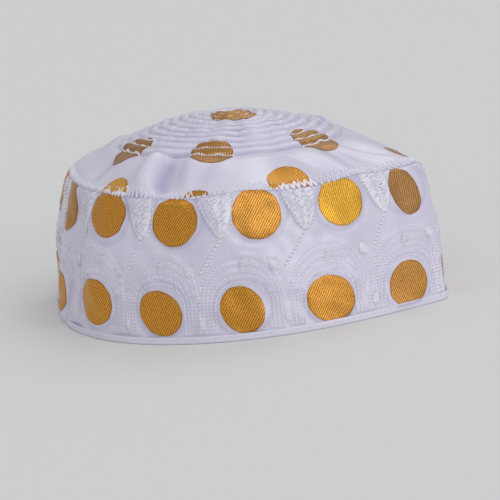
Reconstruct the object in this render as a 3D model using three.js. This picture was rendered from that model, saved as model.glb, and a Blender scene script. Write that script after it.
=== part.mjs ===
// A soft white satin skullcap: a domed crown panel, a tapering side band and a narrow bottom binding.
// Millimetres, +Z up. The cap rests on its rim at z = 0, and the origin is under its middle.
// An azimuth of 0 degrees faces -Y and grows towards +X.
import * as THREE from "three";
import { mergeVertices } from "three/addons/utils/BufferGeometryUtils.js";

// Driving dimensions of the sewn cap, before its cloth leans, creases and dents.
const rimRadius = 89; // a 580 mm head size along the creased rim
const seamRadius = 75.2; // where the side band is sewn to the crown
const seamHeight = 58.6;
const crownRise = 25.7; // the dome's height over the seam
const clothThickness = 1.8; // satin, padding and backing together
const sewnGap = 0.3; // between one panel's edge and the next
const wallCurve = 2.6; // the wall stands nearly upright, then turns in towards the seam
const wallHollow = 3.1; // how far the wall draws in between its two edges
const domeCurve = 1.94; // a power of 2 is a parabola, and more is flatter on top

const binding = { height: 3.2, thickness: 2.4, roundness: 0.7 };

// The crown is quilted in rings of stitching, with plain cloth between the last ring and the seam.
const quilting = { outerRadius: 51, ringStep: 4.8, rings: 10, puff: 0.55 };

// How the cap leans: the seam is higher on one side, and its middle isn't over the rim's.
const seamTilt = { rise: 3.9, highAt: -63.5 };
const seamShift = { x: 2.9, y: 1.8 };
const fullerDome = { by: 0.4, at: -90 };

// How far the rim and the seam bulge from a circle, in 2, 3 and 4 lobes. Peaks are azimuths.
const lobeTable = [
  { lobes: 2, rim: 3.4, rimPeak: 27, seam: 1.1, seamPeak: 4 },
  { lobes: 3, rim: 0.2, rimPeak: -30, seam: 0.9, seamPeak: -10 },
  { lobes: 4, rim: 1.1, rimPeak: -41, seam: 0.5, seamPeak: -25 },
];

// The two upright creases where the cap is folded flat for storage. Each follows a line of cloth
// that starts at the azimuth called line, and the crease leans round from rimAt to seamAt.
const creaseTable = [
  { line: 56.25, rimAt: 54.7, seamAt: 69.6, rim: 15.5, seam: 11.3, width: 11.9 },
  { line: -123.75, rimAt: -125.3, seamAt: -110.4, rim: 9.3, seam: 6.8, width: 11.9 },
];
const creaseRounding = 2.9; // in degrees
const creasePull = 30; // how far either side of a crease the cloth is drawn round with it

// Soft upright dents and swells of the side band. share runs from 0 at the rim to 1 at the seam.
const bandDentTable = [
  { at: -172, share: 0.6, out: -1.0, width: 12, tall: 0.3 },
  { at: -146, share: 0.5, out: 0.8, width: 10, tall: 0.35 },
  { at: -67, share: 0.76, out: -1.3, width: 7, tall: 0.25 },
  { at: -50, share: 0.7, out: 0.7, width: 9, tall: 0.3 },
  { at: -31, share: 0.74, out: -0.8, width: 7, tall: 0.25 },
  { at: -6, share: 0.45, out: 0.6, width: 12, tall: 0.3 },
  { at: 19, share: 0.6, out: -0.8, width: 9, tall: 0.3 },
  { at: 41, share: 0.55, out: -0.6, width: 7, tall: 0.3 },
  { at: 112, share: 0.6, out: -1.1, width: 11, tall: 0.35 },
  { at: 148, share: 0.5, out: 0.9, width: 13, tall: 0.35 },
];

// Radial folds of the plain cloth round the quilting. lift is at the fold's middle.
const crownFoldTable = [
  { at: -162, lift: 1.1, width: 8 },
  { at: -141, lift: -1.5, width: 7 },
  { at: -117, lift: 1.0, width: 9 },
  { at: -88, lift: 0.6, width: 8 },
  { at: -66, lift: -1.4, width: 9 },
  { at: -50, lift: 0.6, width: 6 },
  { at: -37, lift: 2.1, width: 6 },
  { at: -25, lift: -1.9, width: 5 },
  { at: -11, lift: 1.0, width: 8 },
  { at: 14, lift: -0.8, width: 6 },
  { at: 33, lift: 0.7, width: 9 },
  { at: 58, lift: -0.7, width: 9 },
  { at: 96, lift: 0.8, width: 10 },
  { at: 122, lift: -1.3, width: 7 },
  { at: 141, lift: 1.4, width: 8 },
  { at: 168, lift: -1.0, width: 9 },
];

// How finely the cloth is faceted.
const segments = 96;
const bandSteps = 8;
const bandBackSteps = 5;
const plainCrownSteps = 5;
const crownBackSteps = 7;

const { clamp, degToRad, lerp, radToDeg } = THREE.MathUtils;

const spread = (from, to, steps) =>
  Array.from({ length: steps + 1 }, (_, i) => lerp(from, to, i / steps));

const sum = (table, term) => table.reduce((total, row) => total + term(row), 0);

// A smooth swell, 1 at its middle.
const swell = (distance, width) => Math.exp(-((distance / width) ** 2));

// A ridge, 1 at its slightly rounded edge.
const ridge = (distance, width) =>
  Math.exp((creaseRounding - Math.hypot(distance, creaseRounding)) / width);

// Zero at both ends of a panel's free cloth, and 1 halfway.
const freeBetweenSeams = (share, power) => Math.abs(Math.sin(Math.PI * share)) ** power;

// The angle from b to a in degrees, between -180 and 180.
const angleBetween = (a, b) => ((((a - b) % 360) + 540) % 360) - 180;

// The sewn sections: outlines of the panels in a plane through the axis, as radius and height.

function wallAt(share) {
  const hollow = wallHollow * Math.sin(Math.PI * share);
  return new THREE.Vector2(lerp(rimRadius, seamRadius, share ** wallCurve) - hollow, share * seamHeight);
}

const domeAt = (radius) =>
  new THREE.Vector2(radius, seamHeight + crownRise * (1 - (radius / seamRadius) ** domeCurve));

function quiltedDomeAt(radius) {
  const ringsIn = (quilting.outerRadius - radius) / quilting.ringStep;
  const point = domeAt(radius);
  point.y += quilting.puff * Math.abs(Math.sin(Math.PI * ringsIn));
  return point;
}

// The point of a panel's back, one cloth thickness inside a point of its face.
function behind(curve, at, step) {
  const along = curve(at + step).sub(curve(at - step)).normalize();
  return curve(at).add(new THREE.Vector2(-along.y, along.x).multiplyScalar(clothThickness));
}

// Both panels end on one mitred line, from the seam's outer edge to its inner edge.
const seamOuter = wallAt(1);
const seamInner = seamOuter.clone().add(new THREE.Vector2(-1.5, -1.3));

const bandBottom = binding.height + sewnGap;

function bandSection() {
  const lowest = bandBottom / seamHeight;
  const face = spread(lowest, 1, bandSteps).map(wallAt);
  const back = spread(0.93, lowest, bandBackSteps - 1).map((share) => behind(wallAt, share, 0.01));
  back[back.length - 1].y = face[0].y;
  return [...face, seamInner, ...back, face[0]];
}

function crownSection() {
  const innermost = quilting.outerRadius - quilting.rings * quilting.ringStep;
  const back = spread(innermost, 0.94 * seamRadius, crownBackSteps - 1)
    .map((radius) => behind(domeAt, radius, -0.5));
  const plain = spread(seamRadius, quilting.outerRadius, plainCrownSteps).slice(1, -1).map(domeAt);
  const rings = spread(quilting.outerRadius, innermost, 2 * quilting.rings).map(quiltedDomeAt);
  const top = domeAt(0);
  const topBack = new THREE.Vector2(0, top.y - clothThickness);
  const section = [topBack, ...back, seamInner, seamOuter, ...plain, ...rings, top];
  return section.map((point) => new THREE.Vector2(point.x, point.y + sewnGap));
}

// The binding's section is flat where the cap rests on it.
function bindingSection() {
  const { height, thickness, roundness } = binding;
  const outside = rimRadius + (thickness - clothThickness) / 2;
  const inside = outside - thickness;
  return [
    new THREE.Vector2(inside + roundness, 0),
    new THREE.Vector2(outside - roundness, 0),
    new THREE.Vector2(outside, roundness),
    new THREE.Vector2(outside, height - roundness),
    new THREE.Vector2(outside - roundness, height),
    new THREE.Vector2(inside + roundness, height),
    new THREE.Vector2(inside, height - roundness),
    new THREE.Vector2(inside, roundness),
    new THREE.Vector2(inside + roundness, 0),
  ];
}

// The worn shape: how far each azimuth stands from its circle, at the rim and at the seam.
// share is 0 at the rim and 1 at the seam.

const creaseAt = (crease, share) => lerp(crease.rimAt, crease.seamAt, share);

function bulge(azimuth, share, edge) {
  const lobes = sum(lobeTable, (row) =>
    row[edge] * Math.cos(row.lobes * degToRad(azimuth - row[`${edge}Peak`])));
  const creases = sum(creaseTable, (row) =>
    row[edge] * ridge(angleBetween(azimuth, creaseAt(row, share)), row.width));
  return lobes + creases;
}

// Lines of cloth near a crease are drawn round with it.
const drawnRound = (azimuth, share) =>
  azimuth + sum(creaseTable, (row) =>
    (creaseAt(row, share) - row.line) * swell(angleBetween(azimuth, row.line), creasePull));

const seamLift = (azimuth) => seamTilt.rise * Math.cos(degToRad(azimuth - seamTilt.highAt));

// The side band leans with its seam, and dents between its two edges. Both edges of the mitre move
// alike in both panels, so share stays 1 past the seam's inner edge.
function bendBand(line, radius, z) {
  const share = Math.min(z / seamInner.y, 1);
  const azimuth = drawnRound(line, share);
  const lean = share ** wallCurve;
  const dents = sum(bandDentTable, (row) => {
    const across = swell(angleBetween(azimuth, row.at), row.width);
    return row.out * across * swell(share - row.share, row.tall);
  });
  const out = lerp(bulge(azimuth, share, "rim"), bulge(azimuth, share, "seam"), lean);
  const bentRadius = radius + out + dents * freeBetweenSeams(share, 0.5);
  const rise = Math.min((z - bandBottom) / (seamInner.y - bandBottom), 1);
  return { azimuth, lean, radius: bentRadius, z: z + rise * seamLift(azimuth) };
}

// The crown follows the seam at its edge, keeps its round quilting, and folds in between.
function bendCrown(line, radius, z) {
  const share = clamp((radius - quilting.outerRadius) / (seamInner.x - quilting.outerRadius), 0, 1);
  const azimuth = lerp(line, drawnRound(line, 1), share);
  const reach = Math.min(radius / seamInner.x, 1);
  const fuller = fullerDome.by * Math.cos(degToRad(azimuth - fullerDome.at)) * 4 * reach * (1 - reach);
  const folds = sum(crownFoldTable, (row) => row.lift * swell(angleBetween(azimuth, row.at), row.width));
  return {
    azimuth,
    lean: 1,
    radius: radius + bulge(azimuth, 1, "seam") * share,
    z: z + reach * seamLift(azimuth) + fuller + folds * freeBetweenSeams(share, 0.8),
  };
}

function bendBinding(line, radius, z) {
  const azimuth = drawnRound(line, 0);
  return { azimuth, lean: 0, radius: radius + bulge(azimuth, 0, "rim"), z };
}

// Turns a section round the axis, then moves each of its vertices with the worn shape.
function turnedPanel(section, bend) {
  const turned = new THREE.LatheGeometry(section, segments).rotateX(Math.PI / 2);
  turned.deleteAttribute("normal");
  turned.deleteAttribute("uv");
  const geometry = mergeVertices(turned, 1e-3);
  const places = geometry.getAttribute("position");
  for (let i = 0; i < places.count; i++) {
    const x = places.getX(i);
    const y = places.getY(i);
    const radius = Math.hypot(x, y);
    const bent = bend(radToDeg(Math.atan2(x, -y)), radius, places.getZ(i));
    const angle = degToRad(bent.azimuth);
    const reach = radius < 1e-3 ? 0 : bent.radius;
    const shiftedX = seamShift.x * bent.lean + reach * Math.sin(angle);
    const shiftedY = seamShift.y * bent.lean - reach * Math.cos(angle);
    places.setXYZ(i, shiftedX, shiftedY, bent.z);
  }
  geometry.computeVertexNormals();
  return geometry;
}

function panel(name, section, bend, material) {
  const mesh = new THREE.Mesh(turnedPanel(section, bend), material);
  mesh.name = name;
  return mesh;
}

const satin = new THREE.MeshStandardMaterial({ color: 0xe4e0ee, roughness: 0.42, metalness: 0 });
const bindingSatin = new THREE.MeshStandardMaterial({ color: 0xd8d2e6, roughness: 0.5, metalness: 0 });

const cap = new THREE.Group();
cap.add(panel("crown_top", crownSection(), bendCrown, satin));
cap.add(panel("side_band", bandSection(), bendBand, satin));
cap.add(panel("bottom_binding", bindingSection(), bendBinding, bindingSatin));

// The creases put the cap's middle a little to one side of the sections' axis.
const middle = new THREE.Box3().setFromObject(cap).getCenter(new THREE.Vector3());
cap.position.set(-middle.x, -middle.y, 0);

export default cap;
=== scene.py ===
import math

import bpy
import numpy as np
from mathutils import Matrix, Vector


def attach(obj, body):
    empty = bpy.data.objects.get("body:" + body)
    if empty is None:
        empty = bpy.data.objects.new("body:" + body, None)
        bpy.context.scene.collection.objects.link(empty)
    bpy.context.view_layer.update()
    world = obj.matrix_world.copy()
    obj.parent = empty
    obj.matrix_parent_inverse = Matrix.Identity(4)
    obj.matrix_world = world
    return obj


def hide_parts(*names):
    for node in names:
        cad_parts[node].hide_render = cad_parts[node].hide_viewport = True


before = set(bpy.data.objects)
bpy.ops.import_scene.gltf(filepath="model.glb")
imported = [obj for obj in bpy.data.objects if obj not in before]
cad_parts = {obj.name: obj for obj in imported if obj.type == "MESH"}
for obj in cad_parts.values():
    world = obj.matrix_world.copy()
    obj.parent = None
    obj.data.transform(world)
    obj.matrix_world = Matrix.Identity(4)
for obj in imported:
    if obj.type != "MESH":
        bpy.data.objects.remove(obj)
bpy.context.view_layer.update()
print("frame loaded")

# Shapes are worked out in millimetres, and scaled to Blender's metres when a mesh is made.
# Azimuths are degrees from the front (-Y) towards +X.
mm = 0.001

cap = {
    "rimRadius": 89.0,
    "seamRadius": 75.2,
    "seamHeight": 58.6,
    "crownRise": 25.7,
    "wallCurve": 2.6,
    "wallHollow": 3.1,
    "domeCurve": 1.94,
    "seamRise": 3.9,
    "seamHighAt": -63.5,
    "seamShift": (2.9, 1.8),
    "fullerBy": 0.4,
    "fullerAt": -90.0,
    "axisAt": (-1.07, 0.02),  # the panels' own axis, seen from the frame's origin
    "foldGain": 1.6,
    "clothThickness": 1.5,
    "creaseRounding": 2.9,
    "creasePull": 30.0,
    # powers: how fast folds and the seam's waves die away from the seam
    "foldFullness": 0.8,
    "bandWaveFade": 3,
    "crownWaveFade": 5,
}


def namedRows(names, *rows):
    # a table with named columns, as one dictionary for each row
    return [dict(zip(names.split(), row)) for row in rows]


# Bulges from a circle in 2, 3 and 4 lobes, and the two fold-flat creases
lobeTable = namedRows(
    "lobes rim rimPeak seam seamPeak",
    (2, 3.4, 27, 1.1, 4),
    (3, 0.2, -30, 0.9, -10),
    (4, 1.1, -41, 0.5, -25),
)
creaseTable = namedRows(
    "line rimAt seamAt rim seam width",
    (56.25, 54.7, 69.6, 15.5, 11.3, 11.9),
    (-123.75, -125.3, -110.4, 9.3, 6.8, 11.9),
)
# Soft dents, by azimuth: of the band, at a share of its height, and of the crown's plain part
bandDentTable = namedRows(
    "at share out width tall",
    (-172, 0.6, -1.0, 12, 0.3),
    (-146, 0.5, 0.8, 10, 0.35),
    (-67, 0.76, -1.3, 7, 0.25),
    (-50, 0.7, 0.7, 9, 0.3),
    (-31, 0.74, -0.8, 7, 0.25),
    (-6, 0.45, 0.6, 12, 0.3),
    (19, 0.6, -0.8, 9, 0.3),
    (41, 0.55, -0.6, 7, 0.3),
    (112, 0.6, -1.1, 11, 0.35),
    (148, 0.5, 0.9, 13, 0.35),
)
crownFoldTable = namedRows(
    "at lift width",
    (-162, 1.1, 8),
    (-141, -1.5, 7),
    (-117, 1.0, 9),
    (-88, 0.6, 8),
    (-66, -1.4, 9),
    (-50, 0.6, 6),
    (-37, 2.1, 6),
    (-25, -1.9, 5),
    (-11, 1.0, 8),
    (14, -0.8, 6),
    (33, 0.7, 9),
    (58, -0.7, 9),
    (96, 0.8, 10),
    (122, -1.3, 7),
    (141, 1.4, 8),
    (168, -1.0, 9),
)
# where the crown's seam wanders up or down
seamWaveTable = namedRows(
    "at up width",
    (2, 1.9, 10),
    (43, 1.4, 9),
    (-17, -0.5, 8),
    (105, -2.4, 13),
    (163, 1.0, 16),
    (-104, 1.2, 12),
)


def mix(a, b, share):
    return a + (b - a) * share


def swell(distance, width):
    return np.exp(-((distance / width) ** 2))


def angleBetween(a, b):
    return (a - b + 180) % 360 - 180


def ridge(distance, width):
    rounding = cap["creaseRounding"]
    return np.exp((rounding - np.hypot(distance, rounding)) / width)


def bulge(azimuth, share, edge):
    out = 0
    for row in lobeTable:
        out = out + row[edge] * np.cos(np.radians(row["lobes"] * (azimuth - row[edge + "Peak"])))
    for row in creaseTable:
        creaseAt = mix(row["rimAt"], row["seamAt"], share)
        out = out + row[edge] * ridge(angleBetween(azimuth, creaseAt), row["width"])
    return out


def drawnRound(line, share):
    # lines of cloth near a crease lean with it
    azimuth = line
    for row in creaseTable:
        lean = mix(row["rimAt"], row["seamAt"], share) - row["line"]
        azimuth = azimuth + lean * swell(angleBetween(line, row["line"]), cap["creasePull"])
    return azimuth


def seamLift(azimuth):
    return cap["seamRise"] * np.cos(np.radians(azimuth - cap["seamHighAt"]))


def seamWave(azimuth):
    return sum(row["up"] * swell(angleBetween(azimuth, row["at"]), row["width"]) for row in seamWaveTable)


def placed(azimuth, radius, z, lean):
    angle = np.radians(azimuth)
    x = cap["axisAt"][0] + cap["seamShift"][0] * lean + radius * np.sin(angle)
    y = cap["axisAt"][1] + cap["seamShift"][1] * lean - radius * np.cos(angle)
    return np.stack([x, y, z + 0 * x], -1)


def bandShape(line, height):
    share = height / cap["seamHeight"]
    azimuth = drawnRound(line, share)
    lean = share ** cap["wallCurve"]
    free = np.sqrt(np.clip(np.sin(np.pi * np.clip(share, 0, 1)), 0, 1))
    dents = 0
    for row in bandDentTable:
        across = swell(angleBetween(azimuth, row["at"]), row["width"])
        dents = dents + row["out"] * across * swell(share - row["share"], row["tall"])
    radius = mix(cap["rimRadius"], cap["seamRadius"], lean) - cap["wallHollow"] * np.sin(np.pi * share)
    radius = radius + mix(bulge(azimuth, share, "rim"), bulge(azimuth, share, "seam"), lean) + dents * free
    rise = share * seamLift(azimuth) + share ** cap["bandWaveFade"] * seamWave(azimuth)
    return placed(azimuth, radius, height + rise, lean)


quilting = {
    "outerRadius": 51.0,
    "ringStep": 4.8,
    "rings": 10,
    "puff": 1.5,
    "fullness": 0.6,
    "level": 0.8,  # of the puff, where the plain cloth lies
    "plainRise": 1.2,
    "grooveWidth": 0.65,
    "grooveEnds": (-0.2, 0.5),  # in rings, past the outermost and short of the innermost
    "grooveShade": 0.8,
    "grooveUneven": 0.35,
    "grooveWaves": (10, 15, 40, 51),
    "pucker": 0.14,
    "puckerWaves": (18, 5, 14, 3),
    "puckerTurn": 137.5,
    "calmRadius": 30,
}


def crownShape(line, radius):
    plainFrom = quilting["outerRadius"]
    share = np.clip((radius - plainFrom) / (cap["seamRadius"] - plainFrom), 0, 1)
    azimuth = mix(line, drawnRound(line, 1), share)
    reach = radius / cap["seamRadius"]
    dome = cap["crownRise"] * (1 - reach ** cap["domeCurve"])
    fuller = cap["fullerBy"] * np.cos(np.radians(azimuth - cap["fullerAt"])) * 4 * reach * (1 - reach)
    folds = 0
    for row in crownFoldTable:
        folds = folds + row["lift"] * swell(angleBetween(azimuth, row["at"]), row["width"])
    free = cap["foldGain"] * np.sin(np.pi * share) ** cap["foldFullness"]
    rise = reach * seamLift(azimuth) + reach ** cap["crownWaveFade"] * seamWave(azimuth)
    z = cap["seamHeight"] + dome + rise + fuller + folds * free
    return placed(azimuth, radius + bulge(azimuth, 1, "seam") * share, z, 1)


# A sheet of cloth is a table of points: columns run round the cap, rows run across the cloth.

def columnAt(line, columns):
    return (line + 180) / 360 * columns


def lineAt(column, columns):
    return column / columns * 360 - 180


def outward(points):
    aroundCap = np.roll(points, -1, 1) - np.roll(points, 1, 1)
    acrossCloth = np.gradient(points, axis=0)
    normals = np.cross(aroundCap, acrossCloth)
    return normals / np.maximum(np.linalg.norm(normals, axis=-1, keepdims=True), 1e-9)


def look(table, row, column):
    # bilinear reading of a table whose columns close on themselves
    rows, columns = table.shape[:2]
    row = np.clip(row, 0, rows - 1.001)
    r0 = np.floor(row).astype(int)
    c0 = np.floor(column).astype(int)
    r, c = row - r0, column - c0
    if table.ndim == 3:
        r, c = r[..., None], c[..., None]
    low, high = (mix(table[r1, c0 % columns], table[r1, (c0 + 1) % columns], c) for r1 in (r0, r0 + 1))
    return mix(low, high, r)


def onSheet(points, normals, row, column, out):
    return look(points, row, column) + look(normals, row, column) * np.asarray(out)[..., None]


def crumple(line, across, count, shortest, longest, seed):
    # soft random dents that close round the cap, about 1 high, made of count waves between two lengths
    dice = np.random.default_rng(seed)
    total = 0
    for _ in range(count):
        pace = 2 * np.pi / dice.uniform(shortest, longest)
        heading = dice.uniform(0, np.pi)
        turns = round(pace * math.cos(heading) * cap["seamRadius"])
        phase = dice.uniform(0, 6.28)
        total = total + np.cos(np.radians(turns * line) + pace * math.sin(heading) * across + phase)
    return total / math.sqrt(count)


# The side band's cloth. Waves are a count, the shortest and longest in millimetres, and a seed.
band = {
    "columns": 640,
    "rows": 72,
    "bottom": 1.9,  # its edge is held inside the binding
    "dents": 0.85,
    "dentWaves": (16, 20, 50, 5),
    "creasing": 0.27,
    "creaseWaves": (26, 7, 17, 8),
    "seamTuck": 0.8,
    "tuckWidth": 1.3,
    "seamFade": 3,  # the relief dies away over this length below the seam
    "seamShade": 0.2,
    "seamShadeWidth": 1.0,
}

columnLines = lineAt(np.arange(band["columns"]), band["columns"])
bandHeights = np.linspace(band["bottom"], cap["seamHeight"], band["rows"] + 1)
lineGrid, heightGrid = np.meshgrid(columnLines, bandHeights)
bandPoints = bandShape(lineGrid, heightGrid)
bandNormals = outward(bandPoints)

# arc lengths round the band, by row, from the back seam
bandSteps = np.linalg.norm(np.roll(bandPoints, -1, 1) - bandPoints, axis=-1)
bandArcs = np.concatenate([np.zeros((band["rows"] + 1, 1)), np.cumsum(bandSteps, 1)], 1)
bandRound = bandArcs[:, -1]


def bandRow(height):
    return (height - band["bottom"]) / (cap["seamHeight"] - band["bottom"]) * band["rows"]


def bandArc(row, column):
    turns = np.floor(column / band["columns"])
    inside = column - turns * band["columns"]
    row = np.clip(row, 0, band["rows"] - 0.001)
    r0 = np.floor(row).astype(int)
    c0 = np.minimum(np.floor(inside).astype(int), band["columns"] - 1)
    r, c = row - r0, inside - c0
    low, high = (mix(bandArcs[r1, c0], bandArcs[r1, c0 + 1], c) for r1 in (r0, r0 + 1))
    return mix(low, high, r) + turns * mix(bandRound[r0], bandRound[r0 + 1], r)


def bandColumn(anchor, along, row):
    # the column that lies a length along the cloth from the anchor's upright line
    start = columnAt(anchor, band["columns"]) + 0 * along
    step = bandRound[np.clip(np.round(row).astype(int), 0, band["rows"])] / band["columns"]
    column = start + along / step
    goal = bandArc(row, start) + along
    for _ in range(7):
        column = column + (goal - bandArc(row, column)) / step
    return column


def patternAnchors(motifs):
    # upright lines of a row of motifs: pitch apart in front, and eased in to close at the back
    count = motifs["count"]
    row = float(bandRow(motifs["height"]))
    girth = float(np.interp(row, np.arange(band["rows"] + 1), bandRound))
    ease = motifs["pitch"] * count / girth - 1
    turns = (np.arange(count) - count // 2) / count
    along = motifs["first"] + girth * (turns + ease * np.sin(2 * np.pi * turns) / (2 * np.pi))
    column = bandColumn(np.zeros(count), along, np.full(count, row))
    return lineAt(column, band["columns"])


def patternHeights(motifs, anchors):
    return motifs["height"] + motifs["slope"] * np.sin(np.radians(anchors))


def betweenAnchors(anchors):
    return anchors + np.diff(np.append(anchors, anchors[0] + 360)) / 2


def crownOutward(points):
    # the middle is one point, and takes the mean direction of the ring round it
    normals = outward(points)
    middle = normals[-2].mean(0)
    normals[-1] = middle / np.linalg.norm(middle)
    return normals


# The crown's cloth
crown = {
    "columns": 512,
    "rows": 94,
    "dents": 0.5,
    "dentWaves": (14, 18, 50, 21),
    "seamTuck": 0.7,
    "tuckWidth": 1.5,
    "seamFade": 3,
    "seamShade": 0.2,
    "seamShadeWidth": 1.0,
}
crownLines = lineAt(np.arange(crown["columns"]), crown["columns"])
crownRadii = np.linspace(cap["seamRadius"], 0, crown["rows"] + 1)
crownLineGrid, crownRadiusGrid = np.meshgrid(crownLines, crownRadii)
crownPoints = crownShape(crownLineGrid, crownRadiusGrid)
crownNormals = crownOutward(crownPoints)


def crownPlace(azimuth, radius):
    # the row and column under a place that is given in plan, from the crown's middle
    plainFrom = quilting["outerRadius"]
    width = cap["seamRadius"] - plainFrom
    out = bulge(azimuth, 1, "seam")
    flat = np.where(radius > plainFrom, (radius + out * plainFrom / width) / (1 + out / width), radius)
    share = np.clip((flat - plainFrom) / width, 0, 1)
    line = azimuth + 0 * share
    for _ in range(9):
        line = line + angleBetween(azimuth, mix(line, drawnRound(line, 1), share))
    return (1 - flat / cap["seamRadius"]) * crown["rows"], columnAt(line, crown["columns"])


# The woven pattern: two rows of gold dots on the band, and a slanting lattice of them on the crown
dots = {
    "wide": 10.6,
    "tall": 9.2,
    "tilt": -16,
    "uneven": 0.03,
    "tiltUneven": 5,
    # painted light on a dot: 0.5 is none, lower paints shade, higher paints a glint
    "lustre": 0.5,
    "thickness": 0.3,
    "proud": 0.1,
    "rimDarkening": 0.55,
    "edgeWave": 0.006,
    "edgeRipple": 0.005,
    "cells": 22,
    "smoothAngle": 50,
    "underBinding": 0.1,
    "underSeam": 0.5,
    "insideSeam": 0.7,
    "sewnOver": 1.03,  # of its size, where thread counts as lying on a dot
    # the thick weave draws the cloth in round a dot, and painted shade darkens the cloth there
    "draw": 0.4,
    "drawFrom": 1.08,
    "drawAt": 1.3,
    "drawWidth": 1.3,
    "shade": 0.25,
    "shadeAt": 0.9,
}
lowerDots = {"height": 12.8, "slope": -2.3, "pitch": 37.3, "first": -0.9, "count": 15}
upperDots = {"height": 49.7, "slope": 0.0, "pitch": 37.3, "first": 8.4, "count": 14}

lowerAnchors, upperAnchors = patternAnchors(lowerDots), patternAnchors(upperDots)
lowerHeights = patternHeights(lowerDots, lowerAnchors)
upperHeights = patternHeights(upperDots, upperAnchors)
sameMotif = 4  # degrees within which an odd motif is the one meant

# where single dots lie off the even pattern, the ones that the folded corner draws wider or narrower, and the
# painted light on each: a painted glint above 0.5, painted shade below
oddDots = {
    "gold_dots_upper": namedRows(
        "at along up wide tall tilt lustre",
        (-110, -3.0, 0.6, 10.6, 9.2, -16, 0.5),
        (-75, -5.8, -0.4, 12.0, 10.0, -16, 0.25),
        (-47, 0.3, 1.0, 10.9, 9.1, -10, 0.5),
        (-20, 0.3, -0.8, 10.6, 9.5, 12, 0.5),
        (6, -1.0, -0.4, 10.7, 9.6, -14, 0.42),
        (28, 1.2, 0.2, 11.6, 9.5, -17, 0.95),
        (48, 0.4, -1.7, 7.6, 10.1, 22, 0.1),
    ),
    "gold_dots_lower": namedRows(
        "at along up wide tall tilt lustre",
        (-75, -8.0, -2.4, 10.6, 8.4, -17, 0.5),
        (-50, 0.0, 0.6, 10.9, 9.1, -17, 0.5),
        (-25, 0.2, -1.0, 10.7, 8.9, -20, 0.5),
        (0, -0.5, -0.3, 10.2, 8.9, -50, 0.5),
        (23, 1.0, -0.1, 11.2, 9.5, -22, 0.44),
        (45, 1.6, -0.5, 9.7, 9.3, -15, 0.3),
        (64, -3.6, 3.0, 10.4, 9.2, -16, 0.5),
    ),
}


def oddMotif(rows, anchor):
    # the row of a table of odd motifs that is meant for one upright line, or the even pattern's
    return next((row for row in rows if abs(angleBetween(anchor, row["at"])) < sameMotif), {"along": 0})


# Rows of stitching that arch over each lower dot: half widths and heights over the dot's middle
archTable = namedRows(
    "half top",
    (11.6, 10.9),
    (13.3, 13.6),
    (15.0, 16.6),
    (16.6, 19.8),
    (18.1, 23.2),
)
arches = {"puff": 0.6, "sink": 0.45, "shade": 0.2, "squareness": 2.3, "foot": 3.9, "reach": 19}
arches["rankLimits"] = (-1.2, len(archTable) + 0.2)


def archRank(along, up):
    # 0 on the innermost arch and a whole number more on each next one
    halves = np.array([row["half"] for row in archTable])
    tops = np.array([row["top"] for row in archTable])
    ranks = np.arange(len(archTable))
    power = arches["squareness"]
    overTop = np.maximum(up, 0)
    size = (np.abs(along / halves[-1]) ** power + (overTop / tops[-1]) ** power) ** (1 / power)
    rank = np.interp(size * halves[-1], halves, ranks, left=-1, right=len(archTable))
    ranksInSize = 5  # about how many arches wide the whole motif is, for the steps of the search
    for _ in range(3):
        half = np.interp(rank, ranks, halves)
        top = np.interp(rank, ranks, tops)
        size = (np.abs(along / half) ** power + (overTop / top) ** power) ** (1 / power)
        rank = np.clip(rank + (size - 1) * ranksInSize, *arches["rankLimits"])
    return rank


# Leaves hang from the seam between the upper dots: their edges by height, from the middle of the gap
leafTable = namedRows(
    "height left right",
    (57.9, -7.6, 6.4),
    (54.0, -5.9, 7.0),
    (50.0, -3.8, 7.1),
    (46.5, -1.6, 6.2),
    (43.8, 0.2, 4.9),
    (41.8, 2.0, 3.0),
)
leaf = {
    "padding": 1.0,
    "fullness": 0.55,
    "softEdge": 0.8,
    "tipLength": 2,
    "shade": 0.35,
    "shadeOut": 1.2,
    "shadeWidth": 1.0,
    "threadGap": 0.48,
    "threadWidth": 0.95,
    "threadHeight": 0.16,
    "slant": 1.6,
    "jitter": 0.3,
    "joints": (0.35, 0.66),
    "jointJitter": 0.1,
    "out": 0.2,
    "tipGap": 0.5,
    "topGap": 0.6,
    "edgeGap": 1.7,
    "edgeAway": 0.5,
    "edgeOut": 0.05,
    "edgeWidth": 1.2,
    "edgeHeight": 0.36,
    "edgeFrom": 1.5,
    "edgePoints": 30,
}
oddLeaves = namedRows(
    "at along",
    (38, 3.2),
    (-34, 0.6),
    (-93, -4.9),
    (-122, -1.5),
)
midAnchors = betweenAnchors(upperAnchors)


def leafEdges(height):
    rows = leafTable[::-1]
    heights = [row["height"] for row in rows]
    return [np.interp(height, heights, [row[side] for row in rows]) for side in ("left", "right")]


# Relief of the band: the cloth puffs between the arches, and draws in round the dots and at the crown's seam;
# bandShade is painted shade between the arches, beside the leaves, round the dots and at the seam
bandRelief = band["dents"] * crumple(lineGrid, heightGrid, *band["dentWaves"])
bandRelief += band["creasing"] * crumple(lineGrid, heightGrid, *band["creaseWaves"])
bandShade = np.zeros_like(heightGrid)
rowGrid = bandRow(heightGrid)
columnGrid = columnAt(lineGrid, band["columns"])
arcGrid = bandArc(rowGrid, columnGrid)


def alongFrom(anchor):
    # lengths along the cloth from an upright line, the short way round
    girth = bandRound[:, None]
    anchorArc = bandArc(rowGrid, np.full_like(rowGrid, columnAt(anchor, band["columns"])))
    return (arcGrid - anchorArc + girth / 2) % girth - girth / 2


def drawnIn(relief, shade, toSeam, cloth):
    # near the crown's seam a panel's relief dies away, and the cloth is drawn in and darkened with painted
    # shade
    relief = relief * np.clip(toSeam / cloth["seamFade"], 0, 1)
    relief = relief - cloth["seamTuck"] * swell(toSeam, cloth["tuckWidth"])
    return relief, np.clip(shade + cloth["seamShade"] * swell(toSeam, cloth["seamShadeWidth"]), 0, 1)


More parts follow.
